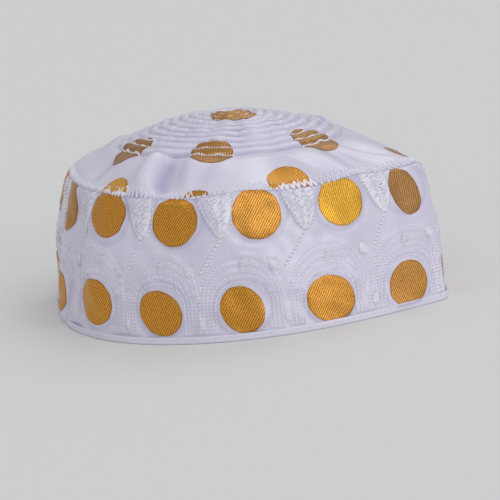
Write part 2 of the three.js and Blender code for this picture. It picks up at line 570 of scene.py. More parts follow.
for anchor in midAnchors:
    left, right = leafEdges(heightGrid)
    along = alongFrom(anchor) - oddMotif(oddLeaves, anchor)["along"]
    inside = np.clip(1 - (2 * along - left - right) ** 2 / (right - left + leaf["softEdge"]) ** 2, 0, 1)
    ends = np.clip((heightGrid - leafTable[-1]["height"]) / leaf["tipLength"], 0, 1)
    bandRelief += leaf["padding"] * inside ** leaf["fullness"] * ends
    # painted shadow of the padded leaf, along its left edge
    bandShade += leaf["shade"] * swell(along - left + leaf["shadeOut"], leaf["shadeWidth"]) * ends
for anchor, dotHeight in zip(lowerAnchors, lowerHeights):
    along = alongFrom(anchor) - oddMotif(oddDots["gold_dots_lower"], anchor)["along"]
    near = np.abs(along) < arches["reach"]
    rank = archRank(along, heightGrid - dotHeight)
    puffed = (rank > -0.5) & (rank < len(archTable) - 1) & near
    puff = np.abs(np.sin(np.pi * rank))
    bandRelief += np.where(puffed, arches["puff"] * (puff - arches["sink"]), 0)
    # painted shade in the valleys between the puffs
    bandShade += np.where(puffed, arches["shade"] * (1 - puff) ** 3, 0)
for rowName, anchors, heights in (("gold_dots_lower", lowerAnchors, lowerHeights),
                                  ("gold_dots_upper", upperAnchors, upperHeights)):
    for anchor, dotHeight in zip(anchors, heights):
        shift = oddMotif(oddDots[rowName], anchor)["along"]
        reach = np.hypot((alongFrom(anchor) - shift) / dots["wide"], (heightGrid - dotHeight) / dots["tall"])
        beyond = (reach - dots["drawFrom"]) * dots["wide"]
        bandRelief -= dots["draw"] * swell(beyond - dots["drawAt"], dots["drawWidth"])
        # painted shade round the dot
        bandShade += dots["shade"] * swell(beyond - dots["shadeAt"], dots["drawWidth"])
bandRelief, bandShade = drawnIn(bandRelief, bandShade, cap["seamHeight"] - heightGrid, band)
bandPoints = bandPoints + bandNormals * bandRelief[..., None]
bandNormals = outward(bandPoints)

# Creases in the plain part of the crown: a ridge or valley on a line, between two distances from the middle
crownCreaseTable = namedRows(
    "line drift from to width lift",
    (-39, 1.5, 47, 75, 4.2, 2.0),
    (-30, 1.0, 50, 75, 3.4, -2.3),
    (-20, 1.2, 48, 74, 3.6, 1.3),
    (-7, -2.5, 50, 73, 3.5, -0.5),
    (21, 3.0, 52, 74, 3.0, 0.6),
    (44, -3.0, 50, 75, 3.4, -0.7),
    (50, 2.0, 52, 75, 3.0, 0.6),
    (-74, 3.0, 50, 74, 4.0, -0.9),
    (100, 0.0, 56, 79, 20.0, -1.0),
    (125, 0.0, 42, 74, 17.0, 2.0),
    (-104, 0.0, 56, 79, 20.0, -2.5),
    (-132, 3.0, 40, 64, 16.0, 1.0),
    (118, 2.0, 50, 75, 4.0, -1.0),
    (152, -2.0, 49, 75, 3.6, 1.1),
    (-150, 2.5, 50, 75, 4.2, -1.2),
    (-118, -2.0, 51, 75, 3.6, 0.9),
)
creases = {"driftOver": 10, "fade": 6, "shade": 0.3, "shadeWidth": 0.8, "shadedUnder": 10}

# Relief of the crown: rings of quilting, small puckers on them, creases, dents and the drawn-in seam;
# crownShade is painted shade in the ring grooves, the crease valleys and at the seam
ringsIn = (quilting["outerRadius"] - crownRadiusGrid) / quilting["ringStep"]
puffs = np.abs(np.sin(np.pi * np.clip(ringsIn, 0, quilting["rings"]))) ** quilting["fullness"]
plain = quilting["level"] * np.clip(-ringsIn * quilting["plainRise"], 0, 1)
crownRelief = quilting["puff"] * (np.where(ringsIn > 0, puffs, plain) - quilting["level"])
toRing = (ringsIn - np.round(ringsIn)) * quilting["ringStep"]
sewn = (ringsIn > quilting["grooveEnds"][0]) & (ringsIn < quilting["rings"] - quilting["grooveEnds"][1])
unevenShade = quilting["grooveUneven"] * crumple(crownLineGrid, crownRadiusGrid, *quilting["grooveWaves"])
# painted shade in the sewn ring grooves, uneven round the crown
crownShade = np.where(sewn, swell(toRing, quilting["grooveWidth"]), 0) * (quilting["grooveShade"] + unevenShade)
puckerLines = crownLineGrid + np.floor(ringsIn) * quilting["puckerTurn"]
puckers = crumple(puckerLines, crownRadiusGrid, *quilting["puckerWaves"])
calm = np.clip(crownRadiusGrid / quilting["calmRadius"], 0, 1)
crownRelief += quilting["pucker"] * puckers * puffs * calm
for row in crownCreaseTable:
    lineHere = row["line"] + row["drift"] * (crownRadiusGrid - row["from"]) / creases["driftOver"]
    across = angleBetween(crownLineGrid, lineHere) * np.pi / 180 * crownRadiusGrid
    inner, outer = (np.clip(run / creases["fade"], 0, 1)
                    for run in (crownRadiusGrid - row["from"], row["to"] - crownRadiusGrid))
    reach = inner * outer
    crownRelief += row["lift"] * swell(across, row["width"]) * reach
    if row["lift"] < 0 and row["width"] < creases["shadedUnder"]:
        # painted shade in the narrow valleys
        depth = creases["shade"] * row["lift"]
        crownShade -= depth * swell(across, row["width"] * creases["shadeWidth"]) * reach
crownRelief += crown["dents"] * crumple(crownLineGrid, crownRadiusGrid, *crown["dentWaves"]) * calm
crownRelief, crownShade = drawnIn(crownRelief, crownShade, cap["seamRadius"] - crownRadiusGrid, crown)
crownPoints = crownPoints + crownNormals * crownRelief[..., None]
crownNormals = crownOutward(crownPoints)
print("cloth shapes worked out")


def onBand(anchor, along, height, out):
    row = bandRow(np.asarray(height, float))
    along = np.asarray(along, float) + 0 * row
    column = bandColumn(anchor, along, row)
    return onSheet(bandPoints, bandNormals, row, column, out)


def onCrown(x, y, out):
    # x and y are in plan, from the crown's middle
    row, column = crownPlace(np.degrees(np.arctan2(x, -y)), np.hypot(x, y))
    return onSheet(crownPoints, crownNormals, row, column, out)


# Modelling helpers

def selectOnly(*pieces):
    if bpy.context.object and bpy.context.object.mode != "OBJECT":
        bpy.ops.object.mode_set(mode="OBJECT")
    bpy.ops.object.select_all(action="DESELECT")
    for piece in pieces:
        piece.select_set(True)
    if pieces:
        bpy.context.view_layer.objects.active = pieces[0]


def vertexPlaces(piece):
    places = np.empty(len(piece.data.vertices) * 3)
    piece.data.vertices.foreach_get("co", places)
    return places.reshape(-1, 3)


def setVertexPlaces(piece, places):
    piece.data.vertices.foreach_set("co", np.ascontiguousarray(places, float).ravel())
    piece.data.update()


def paint(piece, name, values):
    layer = piece.data.attributes.new(name, "FLOAT", "POINT")
    layer.data.foreach_set("value", values)


def editAll(piece, *operations):
    selectOnly(piece)
    bpy.ops.object.mode_set(mode="EDIT")
    bpy.ops.mesh.select_all(action="SELECT")
    for operation in operations:
        operation()
    bpy.ops.object.mode_set(mode="OBJECT")


def smooth(piece, angle=None):
    selectOnly(piece)
    if angle is None:
        bpy.ops.object.shade_smooth()
    else:
        bpy.ops.object.shade_smooth_by_angle(angle=math.radians(angle))


def thicken(piece, thickness, offset, angle=None):
    solidify = piece.modifiers.new("thickness", "SOLIDIFY")
    solidify.thickness = thickness * mm
    solidify.offset = offset
    bpy.context.view_layer.objects.active = piece
    bpy.ops.object.modifier_apply(modifier=solidify.name)
    smooth(piece, angle)


def finishPiece(piece, material, replaced=None):
    piece.data.materials.clear()
    piece.data.materials.append(material)
    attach(piece, "root")
    if replaced:
        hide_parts(replaced)
    print("made", piece.name, len(piece.data.polygons), "faces")


# Materials

def linear(hexColor):
    channels = [int(hexColor[i:i + 2], 16) / 255 for i in (1, 3, 5)]
    return tuple(c / 12.92 if c <= 0.04045 else ((c + 0.055) / 1.055) ** 2.4 for c in channels) + (1,)


def startMaterial(name):
    material = bpy.data.materials.new(name)
    material.use_nodes = True
    return material, material.node_tree.nodes["Principled BSDF"]


def addNode(material, kind, output, settings=None, inputs=None, links=None):
    # links maps an input of the new node to the output that feeds it
    node = material.node_tree.nodes.new(kind)
    for key, value in (settings or {}).items():
        setattr(node, key, value)
    for key, value in (inputs or {}).items():
        node.inputs[key].default_value = value
    for key, source in (links or {}).items():
        material.node_tree.links.new(source, node.inputs[key])
    return node.outputs[output]


def connect(material, source, target):
    material.node_tree.links.new(source, target)


def ramp(material, fac, stops):
    colour = addNode(material, "ShaderNodeValToRGB", "Color", links={"Fac": fac})
    elements = colour.node.color_ramp.elements
    for element, (place, color) in zip(elements, stops):
        element.position = place
        element.color = linear(color)
    return colour


def noise(material, place, scale, detail, roughness=0.5):
    return addNode(material, "ShaderNodeTexNoise", "Fac", None,
                   {"Scale": scale, "Detail": detail, "Roughness": roughness}, {"Vector": place})


def stripes(material, place, direction, scale, inputs):
    return addNode(material, "ShaderNodeTexWave", "Fac", {"wave_type": "BANDS", "bands_direction": direction},
                   {"Scale": scale, **inputs}, {"Vector": place})


def timesPlus(material, first, factor, second):
    return addNode(material, "ShaderNodeMath", "Value", {"operation": "MULTIPLY_ADD"}, {1: factor},
                   {0: first, 2: second})


def remap(material, value, limits):
    return addNode(material, "ShaderNodeMapRange", "Result", None, limits, {"Value": value})


def painted(material, name):
    # a value that is painted on the points of the mesh
    return addNode(material, "ShaderNodeAttribute", "Fac", {"attribute_name": name})


def tinted(material, colour, share, tint):
    return addNode(material, "ShaderNodeMixRGB", "Color", {"blend_type": "MIX"}, {"Color2": linear(tint)},
                   {"Fac": share, "Color1": colour})


def addBump(material, shader, height, strength, depth):
    # depth is in millimetres
    bump = addNode(material, "ShaderNodeBump", "Normal", None, {"Strength": strength, "Distance": depth * mm},
                   {"Height": height})
    connect(material, bump, shader.inputs["Normal"])


satin = {
    "light": "#dedaeb",
    "shade": "#cbc6db",
    # the violet of painted shade, for grooves and other shaded places
    "paintedShade": "#a19bc0",
    "patchScale": 26,
    "roughness": 0.25,
    "glossier": 0.05,
    "duller": 0.08,
    "threadGap": 0.8,  # real satin has 0.1 mm threads, too fine to show, so they are drawn coarser
    "threadsSteeper": 1.4,
    "slubScale": 900,
    "weaveDepth": 0.03,
}


def makeSatin(name, clothSize, settings):
    # Woven satin, polyester with long floats: smooth, with a soft broad sheen and faint slanting threads.
    # clothSize is the UV map's real width and height in millimetres.
    material, shader = startMaterial(name)
    uv = addNode(material, "ShaderNodeTexCoord", "UV")
    flat = addNode(material, "ShaderNodeMapping", "Vector", None, {"Scale": (*clothSize, 1)}, {"Vector": uv})
    place = addNode(material, "ShaderNodeTexCoord", "Object")
    patches = noise(material, place, settings["patchScale"], 1)
    colour = ramp(material, patches, [(0.1, settings["shade"]), (0.85, settings["light"])])
    # painted shade: in sewn grooves and other shaded places the white cloth is painted darker, towards violet
    shaded = tinted(material, colour, painted(material, "paintedShade"), settings["paintedShade"])
    connect(material, shaded, shader.inputs["Base Color"])
    scale = 2 * math.pi / settings["threadGap"] / 20 * settings["threadsSteeper"]
    threads = stripes(material, flat, "DIAGONAL", scale, {"Distortion": 0.6, "Detail": 1})
    weave = timesPlus(material, threads, 0.5, noise(material, place, settings["slubScale"], 2))
    addBump(material, shader, weave, 0.25, settings["weaveDepth"])
    gloss = remap(material, patches, {"To Min": settings["roughness"] - settings["glossier"],
                                      "To Max": settings["roughness"] + settings["duller"]})
    connect(material, gloss, shader.inputs["Roughness"])
    shader.inputs["IOR"].default_value = 1.54
    shader.inputs["Specular IOR Level"].default_value = 0.6
    shader.inputs["Anisotropic"].default_value = 0.45
    shader.inputs["Sheen Weight"].default_value = 0.25
    shader.inputs["Sheen Roughness"].default_value = 0.35
    return material


gold = {
    # bright and deep: the gold with a painted glint and with painted shade, along the ribs and in speckles
    "bright": "#f0ad42",
    "deep": "#995a17",
    "rim": "#8a4c12",
    "ribGap": 0.95,  # real twill lines, in millimetres
    "ribAngle": 57,
    "ribDepth": 0.14,
    "glintScale": 1.1,
    "uvSpan": 24.0,  # millimetres of cloth across one dot's UV map
}


def makeBrocade(name):
    # Brocade of gold metallised thread: raised twill ribs, whose colour is painted with glints on one side
    # and brown shade on the other.
    material, shader = startMaterial(name)
    uv = addNode(material, "ShaderNodeTexCoord", "UV")
    turn = math.radians(90 - gold["ribAngle"])
    turned = addNode(material, "ShaderNodeMapping", "Vector", {"vector_type": "POINT"},
                     {"Scale": (gold["uvSpan"], gold["uvSpan"], 1), "Rotation": (0, 0, turn)}, {"Vector": uv})
    ribs = stripes(material, turned, "X", 2 * math.pi / gold["ribGap"] / 20,
                   {"Distortion": 1.1, "Detail": 2, "Detail Scale": 2.5})
    ribsAndPaintedGlints = timesPlus(material, ribs, 0.55, noise(material, turned, gold["glintScale"], 3, 0.75))
    # the colour paints glints and shade along the ribs; the same pattern is the ribs' bump
    colour = ramp(material, ribsAndPaintedGlints, [(0.45, gold["deep"]), (1.0, gold["bright"])])
    # painted light differs from dot to dot: 0 is painted shade, dull and brown, 0.5 as woven and 1 a painted
    # glint, pale and bright
    lustre = painted(material, "lustre")
    value = remap(material, lustre, {"To Min": 0.6, "To Max": 1.4})
    strength = remap(material, lustre, {"From Max": 0.5, "To Min": 0.86, "To Max": 1.0})
    yellower = remap(material, lustre, {"From Min": 0.5, "To Min": 0.5, "To Max": 0.512})
    mixed = addNode(material, "ShaderNodeHueSaturation", "Color", None, None,
                    {"Color": colour, "Value": value, "Saturation": strength, "Hue": yellower})
    edged = tinted(material, mixed, painted(material, "rim"), gold["rim"])
    connect(material, edged, shader.inputs["Base Color"])
    addBump(material, shader, ribsAndPaintedGlints, 0.8, gold["ribDepth"])
    shader.inputs["Metallic"].default_value = 0.7
    shader.inputs["Roughness"].default_value = 0.34
    return material


def makeThread(name, color, roughness):
    # Rayon embroidery thread: white, smooth and glossy, with a twist too fine to draw.
    material, shader = startMaterial(name)
    twist = noise(material, addNode(material, "ShaderNodeTexCoord", "Object"), 1600, 1)
    colour = ramp(material, twist, [(0.25, color[0]), (0.75, color[1])])
    connect(material, colour, shader.inputs["Base Color"])
    addBump(material, shader, twist, 0.2, 0.04)
    shader.inputs["Roughness"].default_value = roughness
    shader.inputs["Sheen Weight"].default_value = 0.15
    return material


bandSatin = makeSatin("polyester_satin_band", (570, 60), satin)
crownSatin = makeSatin("polyester_satin_crown", (500, 80), {**satin, "light": "#e4e1ef", "shade": "#cfcade"})
bindingSatin = makeSatin("polyester_satin_binding", (570, 12),
                         {**satin, "light": "#e6e3f0", "shade": "#d6d2e4"})
goldBrocade = makeBrocade("gold_brocade")
# the same white rayon thread, darkened by painted shade, for thread lying in the satin; white_rayon_thread is
# the unshaded one
shadedThread = makeThread("rayon_thread", ("#dedbea", "#efedf6"), 0.24)
leafThread = makeThread("satin_stitch_rayon", ("#e2dfec", "#f1eff8"), 0.22)
whiteThread = makeThread("white_rayon_thread", ("#e8e5f1", "#f8f6fc"), 0.24)
print("materials made")


# Cloth panels: a flat grid is laid over the table of points, closed at the back and given its thickness

def sewPanel(name, points, thickness, replaced, material, shade=None):
    rows, columns = points.shape[0] - 1, points.shape[1]
    selectOnly()
    bpy.ops.mesh.primitive_grid_add(x_subdivisions=columns, y_subdivisions=rows, size=1)
    piece = bpy.context.object
    piece.name = name
    flat = vertexPlaces(piece)
    column = np.round((flat[:, 0] + 0.5) * columns).astype(int) % columns
    row = np.round((flat[:, 1] + 0.5) * rows).astype(int)
    setVertexPlaces(piece, points[row, column] * mm)
    if shade is not None:
        # how much painted shade the cloth gets, deepest in sewn grooves, for its colour
        paint(piece, "paintedShade", shade[row, column])
    editAll(piece, lambda: bpy.ops.mesh.remove_doubles(threshold=0.01 * mm))
    thicken(piece, thickness, -1)
    finishPiece(piece, material, replaced)


thick = cap["clothThickness"]
sewPanel("side_band_cloth", bandPoints, thick, "side_band", bandSatin, bandShade)
sewPanel("crown_cloth", crownPoints, thick, "crown_top", crownSatin, crownShade)

# The binding: a strip folded over the rim, so its section is a U with soft edges
binding = {
    "height": 3.3,
    "out": 0.35,
    "inside": 0.7,
    "ply": 0.55,
    "columns": 512,
    "foldRadius": 0.9,
    "foldPoints": 7,
    "foldFrom": 1.6,
    "edgeIn": 0.35,
    "edgeDown": 0.5,
    "puckers": 0.07,
    "puckerWaves": (14, 4, 12, 11),
    "flatUnder": 0.05,  # what lies lower than this is the flat underneath, and doesn't pucker
}


def bindingSection():
    # points of the strip's face from its outer edge, under the rim, to its inner edge, as out and up
    outside = binding["out"]
    inside = -cap["clothThickness"] - binding["inside"]
    middle = (outside + inside) / 2
    rounding = binding["foldRadius"]
    flat = (outside - inside) / 2 - rounding
    top, shoulder = binding["height"], binding["height"] - binding["edgeDown"]
    section = [(outside - binding["edgeIn"], top), (outside, shoulder), (outside, binding["foldFrom"])]
    for centre, first in ((middle + flat, 0), (middle - flat, 90)):
        for i in range(binding["foldPoints"]):
            turn = math.radians(first + 90 * i / (binding["foldPoints"] - 1))
            section.append((centre + rounding * math.cos(turn), rounding - rounding * math.sin(turn)))
    return section + [(inside, binding["foldFrom"]), (inside, shoulder), (inside + binding["edgeIn"], top)]


def bindingPoints():
    lines = lineAt(np.arange(binding["columns"]), binding["columns"])
    azimuth = drawnRound(lines, 0)
    puckers = binding["puckers"] * crumple(lines, 0 * lines, *binding["puckerWaves"])
    rows = []
    for out, up in reversed(bindingSection()):
        loose = 0 if up < binding["flatUnder"] else 1
        radius = cap["rimRadius"] + bulge(azimuth, 0, "rim") + out + loose * puckers
        rows.append(placed(azimuth, radius, up, 0))
    return np.array(rows)


sewPanel("rim_binding", bindingPoints(), binding["ply"], "bottom_binding", bindingSatin)


# Gold dots: a disc is modelled flat on the cloth, cut where a seam cuts it, and laid over the surface

def flatDisc(name, wide, tall, tilt, cuts):
    selectOnly()
    bpy.ops.mesh.primitive_grid_add(x_subdivisions=dots["cells"], y_subdivisions=dots["cells"], size=2)
    disc = bpy.context.object
    disc.name = name
    square = vertexPlaces(disc)
    x, y = square[:, 0], square[:, 1]
    # the square becomes a disc, then a leaning oval with a slightly uneven woven edge
    x, y = x * np.sqrt(1 - y * y / 2) * wide, y * np.sqrt(1 - x * x / 2) * tall
    turn = math.radians(tilt)
    x, y = x * math.cos(turn) - y * math.sin(turn), x * math.sin(turn) + y * math.cos(turn)
    around = np.arctan2(y, x)
    edge = 1 + dots["edgeWave"] * np.cos(7 * around + wide * 9)
    edge = edge + dots["edgeRipple"] * np.cos(12 * around + tall * 5)
    setVertexPlaces(disc, np.stack([x * edge, y * edge, 0 * x], -1))
    mapping = disc.data.uv_layers[0].data
    for loop in disc.data.loops:
        place = disc.data.vertices[loop.vertex_index].co
        mapping[loop.index].uv = (place.x / gold["uvSpan"] + 0.5, place.y / gold["uvSpan"] + 0.5)
    for point, away in cuts:
        editAll(disc, lambda: bpy.ops.mesh.bisect(plane_co=point, plane_no=away, clear_outer=True))
    return disc


def borderVertices(piece):
    uses = {}
    for face in piece.data.polygons:
        for key in face.edge_keys:
            uses[key] = uses.get(key, 0) + 1
    return sorted({vertex for key, count in uses.items() if count == 1 for vertex in key})


def makeDot(name, dot, cuts, layOn):
    disc = flatDisc(name, dot["wide"], dot["tall"], dot["tilt"], cuts)
    flat = vertexPlaces(disc)
    setVertexPlaces(disc, layOn(flat[:, 0], flat[:, 1]) * mm)
    # the dot's painted light or shade
    paint(disc, "lustre", np.full(len(flat), dot["lustre"]))
    # darker and browner at the rim
    rim = np.zeros(len(flat))
    rim[borderVertices(disc)] = dots["rimDarkening"]
    paint(disc, "rim", rim)
    thicken(disc, dots["thickness"], 0, dots["smoothAngle"])
    return disc


def joinAs(name, pieces):
    selectOnly(*pieces)
    bpy.ops.object.join()
    pieces[0].name = name
    return pieces[0]


def bandDots(name, anchors, heights, seed):
    dice = np.random.default_rng(seed)
    made = []
    for anchor, height in zip(anchors, heights):
        wide, tall = (dots["wide"], dots["tall"]) * (1 + dots["uneven"] * dice.uniform(-1, 1, 2))
        tilt = dots["tilt"] + dots["tiltUneven"] * dice.uniform(-1, 1)
        dot = {"up": 0, "wide": wide, "tall": tall, "tilt": tilt, "lustre": dots["lustre"],
               **oddMotif(oddDots[name], anchor)}
        height = height + dot["up"]
        low = binding["height"] - dots["underBinding"] - height
        high = cap["seamHeight"] - dots["underSeam"] - height
        cuts = [((0, low, 0), (0, -1, 0)), ((0, high, 0), (0, 1, 0))]
        made.append(makeDot(name, dot, cuts, lambda x, y: onBand(
            anchor, x + dot["along"], y + height, dots["proud"])))
    finishPiece(joinAs(name, made), goldBrocade)


bandDots("gold_dots_lower", lowerAnchors, lowerHeights, 31)
bandDots("gold_dots_upper", upperAnchors, upperHeights, 32)

# The crown's dots, in plan from its middle; the farthest are cut by the seam. Their last column is painted
# light, mostly low, which paints them darker with shade
crownDotTable = namedRows(
    "x y wide tall tilt lustre",
    (2.5, -10.6, 10.4, 9.8, 20, 0.2),
    (-44.2, -21.4, 10.8, 7.9, -29, 0.1),
    (-9.0, -49.0, 9.3, 9.0, 25, 0.15),
    (36.7, -32.3, 10.2, 9.5, 15, 0.12),
    (77.0, -18.5, 8.6, 8.8, 15, 0.2),
    (-56.8, -52.6, 9.8, 9.6, 10, 0.85),
    (-20.0, -81.4, 10.0, 9.6, 20, 0.4),
    (22.6, -69.8, 9.6, 9.8, 20, 0.6),
    (-30.0, 38.5, 9.9, 9.7, 20, 0.3),
    (8.5, 37.5, 10.1, 9.6, 20, 0.3),
    (41.5, 41.0, 9.8, 9.6, 20, 0.3),
    (-18.0, 73.0, 10.0, 9.5, 20, 0.5),
    (33.5, 72.0, 10.2, 9.6, 20, 0.5),
    (79.0, 32.0, 9.9, 9.7, 20, 0.5),
    (-71.0, 42.0, 9.9, 9.7, 20, 0.5),
)


def crownDots(name):
    made = []
    for dot in crownDotTable:
        middle = Vector((dot["x"], dot["y"], 0))
        # the seam is nearly straight across one dot, so a dot on it is cut along a chord
        away = middle.normalized()
        azimuth = math.degrees(math.atan2(dot["x"], -dot["y"]))
        seamAt = float(cap["seamRadius"] + bulge(azimuth, 1, "seam"))
        cuts = [(away * (seamAt - dots["insideSeam"]) - middle, away)]
        made.append(makeDot(name, dot, cuts, lambda x, y: onCrown(
            x + dot["x"], y + dot["y"], dots["proud"])))
    finishPiece(joinAs(name, made), goldBrocade)


crownDots("gold_dots_crown")


def onCrownDot(x, y):
    # whether a place in plan lies on one of the crown's dots
    found = False
    for row in crownDotTable:
        turn = math.radians(row["tilt"])
        dx, dy = x - row["x"], y - row["y"]
        u = dx * math.cos(turn) + dy * math.sin(turn)
        v = dy * math.cos(turn) - dx * math.sin(turn)
        found = found | (np.hypot(u / row["wide"], v / row["tall"]) < dots["sewnOver"])
    return found


# Stitches: one is modelled, then copied along the lines of sewing
stitch = {"segments": 6, "rings": 4, "slant": 64, "slantWidth": 0.4, "slantHeight": 0.6}


def stitchModel(kind):
    # a bar of thread with tapering ends; a slanted one is a stitch of a thick line of chain stitch
    selectOnly()
    bpy.ops.mesh.primitive_uv_sphere_add(segments=stitch["segments"], ring_count=stitch["rings"], radius=0.5)
    model = bpy.context.object
    middle = (0, 0, 0)
    slimmer = (1, stitch["slantWidth"], stitch["slantHeight"])
    slant = math.radians(stitch["slant"])
    shape = [lambda: bpy.ops.transform.rotate(value=math.pi / 2, orient_axis="Y", center_override=middle)]
    if kind == "slanted":
        shape.append(lambda: bpy.ops.transform.resize(value=slimmer, center_override=middle))
        shape.append(lambda: bpy.ops.transform.rotate(value=slant, orient_axis="Z", center_override=middle))
    editAll(model, *shape)
    places = vertexPlaces(model)
    places = places / (places.max(0) - places.min(0))
    faces = [list(face.vertices) for face in model.data.polygons]
    bpy.data.objects.remove(model)
    return places, faces


stitchModels = {kind: stitchModel(kind) for kind in ("slanted", "straight")}


def sewStitches(name, kind, starts, ends, normals, width, height, material, longer):
    # each stitch lies between its two ends, on the surface, and is longer than their gap by a share
    places, faces = stitchModels[kind]
    along = ends - starts
    length = np.linalg.norm(along, axis=1, keepdims=True)
    along = along / np.maximum(length, 1e-9)
    up = normals - along * (normals * along).sum(1, keepdims=True)
    up = up / np.linalg.norm(up, axis=1, keepdims=True)
    side = np.cross(up, along)
    middle = (starts + ends) / 2
    x, y, z = places[:, 0], places[:, 1], places[:, 2]
    spots = (middle[:, None] + along[:, None] * (length * longer)[:, None] * x[None, :, None]
             + side[:, None] * width * y[None, :, None] + up[:, None] * height * z[None, :, None])
    count = len(places)
    allFaces = [[vertex + i * count for vertex in face] for i in range(len(starts)) for face in faces]
    mesh = bpy.data.meshes.new(name)
    mesh.from_pydata((spots.reshape(-1, 3) * mm).tolist(), [], allFaces)
    piece = bpy.data.objects.new(name, mesh)
    bpy.context.collection.objects.link(piece)
    editAll(piece, lambda: bpy.ops.mesh.normals_make_consistent(inside=False))
    smooth(piece)
    finishPiece(piece, material)


def spacedPath(points, gap):
    # points at equal gaps along a line of flat points
    points = np.asarray(points, float)
    steps = np.linalg.norm(np.diff(points, axis=0), axis=1)
    run = np.concatenate([[0], np.cumsum(steps)])
    count = max(int(round(run[-1] / gap)), 1)
    at = np.linspace(0, run[-1], count + 1)
    return np.stack([np.interp(at, run, points[:, i]) for i in range(points.shape[1])], -1)


class BandSewing:
    # gathers stitches on the band, each as two ends and the surface's direction

    def __init__(self):
        self.starts, self.ends, self.normals = [], [], []

    def add(self, anchor, flatStarts, flatEnds, out):
        middle = (flatStarts + flatEnds) / 2
        start, end, raised, level = (
            onBand(anchor, spots[:, 0], spots[:, 1], height)
            for spots, height in ((flatStarts, out), (flatEnds, out), (middle, out + 1), (middle, out)))
        self.starts.append(start)
        self.ends.append(end)
        self.normals.append(raised - level)

    def line(self, anchor, path, gap, out):
        spots = spacedPath(path, gap)
        self.add(anchor, spots[:-1], spots[1:], out)

    def sew(self, name, kind, width, height, longer=1.25, material=shadedThread):
        sewStitches(name, kind, np.concatenate(self.starts), np.concatenate(self.ends),
                    np.concatenate(self.normals), width, height, material, longer)


# Arches of chain stitch over every lower dot, with legs down to the binding
archStitch = {"gap": 1.4, "width": 1.1, "height": 0.28, "out": 0.02, "points": 60}


def archPath(half, top, foot):
    turn = np.radians(np.linspace(180, 0, archStitch["points"]))
    power = 2 / arches["squareness"]
    over = np.stack([half * np.sign(np.cos(turn)) * np.abs(np.cos(turn)) ** power,
                     top * np.sin(turn) ** power], -1)
    return np.concatenate([[(-half, foot)], over, [(half, foot)]])


archSewing = BandSewing()
for anchor, dotHeight in zip(lowerAnchors, lowerHeights):
    shift = oddMotif(oddDots["gold_dots_lower"], anchor)["along"]
    for row in archTable:
        path = archPath(row["half"], row["top"], arches["foot"] - dotHeight)
        archSewing.line(anchor, path + (shift, dotHeight), archStitch["gap"], archStitch["out"])
archSewing.sew("arch_chain_stitch", "slanted", archStitch["width"], archStitch["height"])

# Leaves between the upper dots, filled with satin stitch, each on a stem of chain stitch
stem = {
    "tip": (2.4, -0.8),  # from the middle of the gap and the leaf's lower end
    "leanBack": 6,  # degrees
    "valley": 0.66,
    "foot": 1.0,
    "footShift": 1.2,
    "bow": 0.6,
    "pull": (0.45, 0.55),  # of the tip and of the foot on the bend between them
    "points": 20,
    "gap": 1.8,
    "out": 0.1,
    "width": 1.5,
    "height": 0.5,
}
bud = {"threads": 9, "reach": 0.9, "pointed": 1.7, "slant": 0.4, "out": 0.15, "width": 0.7, "height": 0.2}
budTable = {  # small buds, from the valley's top, from the hem below it, or from an arch's own middle
    "valley": {"x": -4.6, "y": 1.4, "wide": 2.4, "tall": 2.7, "turn": 40},
    "hem": {"x": -0.4, "y": 8.0, "wide": 1.7, "tall": 2.4, "turn": 0},
    "arch": {"x": 1.6, "y": 17.8, "wide": 1.9, "tall": 2.9, "turn": -12},
}
leafSewing, leafOutline, stemSewing, budSewing = (BandSewing() for _ in range(4))
valleyAnchors = betweenAnchors(lowerAnchors)
leafTop, leafTip = leafTable[0]["height"], leafTable[-1]["height"]
leafDice = np.random.default_rng(61)


def arcBetween(fromLine, toLine, height):
    row = np.array([float(bandRow(height))])
    start, end = (bandArc(row, columnAt(np.array([line]), band["columns"]))[0] for line in (fromLine, toLine))
    return float(end - start)


def sewBud(anchor, x, y, place):
    # threads side by side across a small pointed oval
    row = budTable[place]
    share = np.linspace(-bud["reach"], bud["reach"], bud["threads"])
    half = row["wide"] * np.sqrt(1 - np.abs(share) ** bud["pointed"])
    turn = math.radians(row["turn"])
    spots = []
    for side in (-1, 1):
        across, up = side * half, share * row["tall"] + side * bud["slant"]
        spots.append(np.stack([x + row["x"] + across * math.cos(turn) - up * math.sin(turn),
                               y + row["y"] + across * math.sin(turn) + up * math.cos(turn)], -1))
    budSewing.add(anchor, spots[0], spots[1], bud["out"])


def sewLeaf(anchor):
    shift = oddMotif(oddLeaves, anchor)["along"]
    heights = np.arange(leafTip + leaf["tipGap"], leafTop - leaf["topGap"], leaf["threadGap"])
    left, right = (side + shift for side in leafEdges(heights))
    # long and short: each row is three threads whose joints lie unevenly
    jitter = leaf["jointJitter"]
    joints = [left] + [mix(left, right, share + leafDice.uniform(-jitter, jitter, len(heights)))
                       for share in leaf["joints"]]
    for near, far in zip(joints, joints[1:] + [right]):
        tilt = leaf["slant"] + leaf["jitter"] * leafDice.uniform(-1, 1, len(heights))
        start, end = np.stack([near, heights - tilt / 2], -1), np.stack([far, heights + tilt / 2], -1)
        leafSewing.add(anchor, start, end, leaf["out"])
    edge = np.linspace(leafTop - leaf["edgeFrom"], leafTip, leaf["edgePoints"])
    left, right = leafEdges(edge)
    for side in (left - leaf["edgeAway"], right + leaf["edgeAway"]):
        leafOutline.line(anchor, np.stack([side + shift, edge], -1), leaf["edgeGap"], leaf["edgeOut"])


